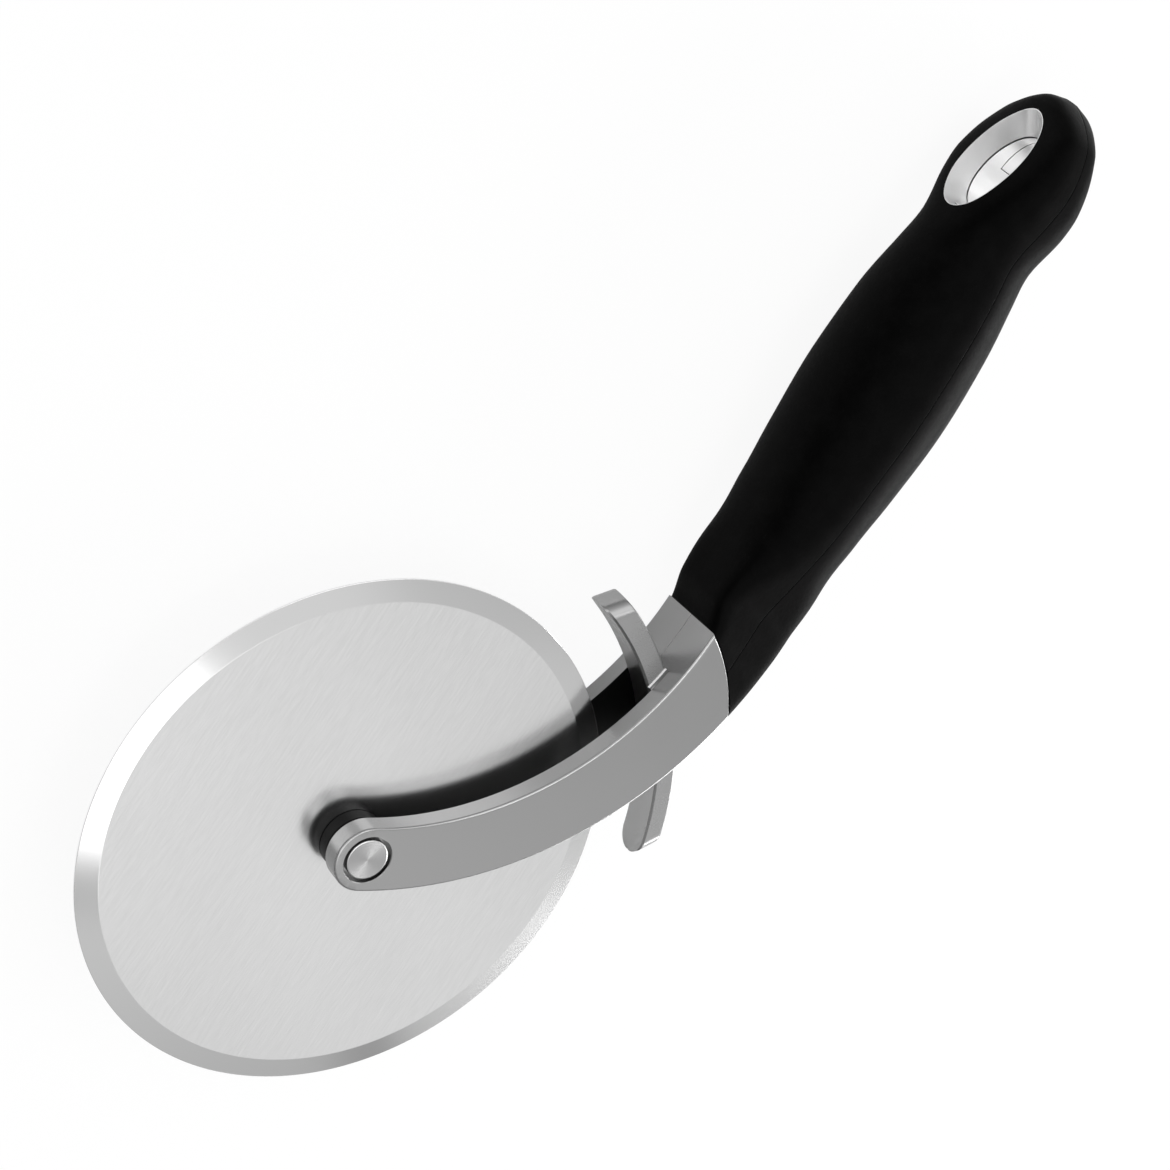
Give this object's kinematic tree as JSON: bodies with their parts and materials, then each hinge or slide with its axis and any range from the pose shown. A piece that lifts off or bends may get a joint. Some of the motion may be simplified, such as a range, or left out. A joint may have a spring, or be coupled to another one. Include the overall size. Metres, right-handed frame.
{
  "type": "pizza cutter wheel",
  "caption": "Hand-held pizza cutter: a round steel blade turning in a curved fork with a finger guard, on a swelling soft-touch handle with a hanging eye.",
  "frame": {"origin": "on the disc's axle, in the flat outer face of the far fork half", "axes": "+X along the handle, away from the disc; +Z along the axle, from the far fork half to the near one; the hanging eye passes through along Y"},
  "size_m": [0.2263, 0.1093, 0.0278],
  "materials": {
    "blade_steel": "fine brushed, polished bevel",
    "fork_steel": "satin",
    "guard_steel": "satin",
    "turned_steel": "turned",
    "bush_brass": "reamed",
    "washer_plastic": "black, turned",
    "soft_grip": "soft matt",
    "core_plastic": "moulded",
    "eyelet_metal": "satin plated"
  },
  "bodies": {
    "frame": {"fork_near_half": "fork_steel", "fork_far_half": "fork_steel", "finger_guard": "guard_steel", "axle_pin": "turned_steel", "axle_cap": "turned_steel", "thrust_washer_near": "washer_plastic", "thrust_washer_far": "washer_plastic", "tang": "turned_steel", "fork_rivets": "turned_steel", "tang_pins": "turned_steel", "core_upper": "core_plastic", "core_lower": "core_plastic", "grip_upper": "soft_grip", "grip_lower": "soft_grip", "eyelet_flare_upper": "eyelet_metal", "eyelet_flare_lower": "eyelet_metal", "eyelet_sleeve_upper": "eyelet_metal", "eyelet_sleeve_lower": "eyelet_metal"},
    "wheel": {"cutting_disc": "blade_steel", "hub_bush": "bush_brass", "hub_flange_near": "washer_plastic", "hub_flange_far": "washer_plastic"}
  },
  "joints": [
    {"name": "wheel_spin", "type": "hinge", "parent": "frame", "child": "wheel", "pos_m": [0, 0, 0.0083], "axis": [0, 0, 1], "continuous": true}
  ]
}
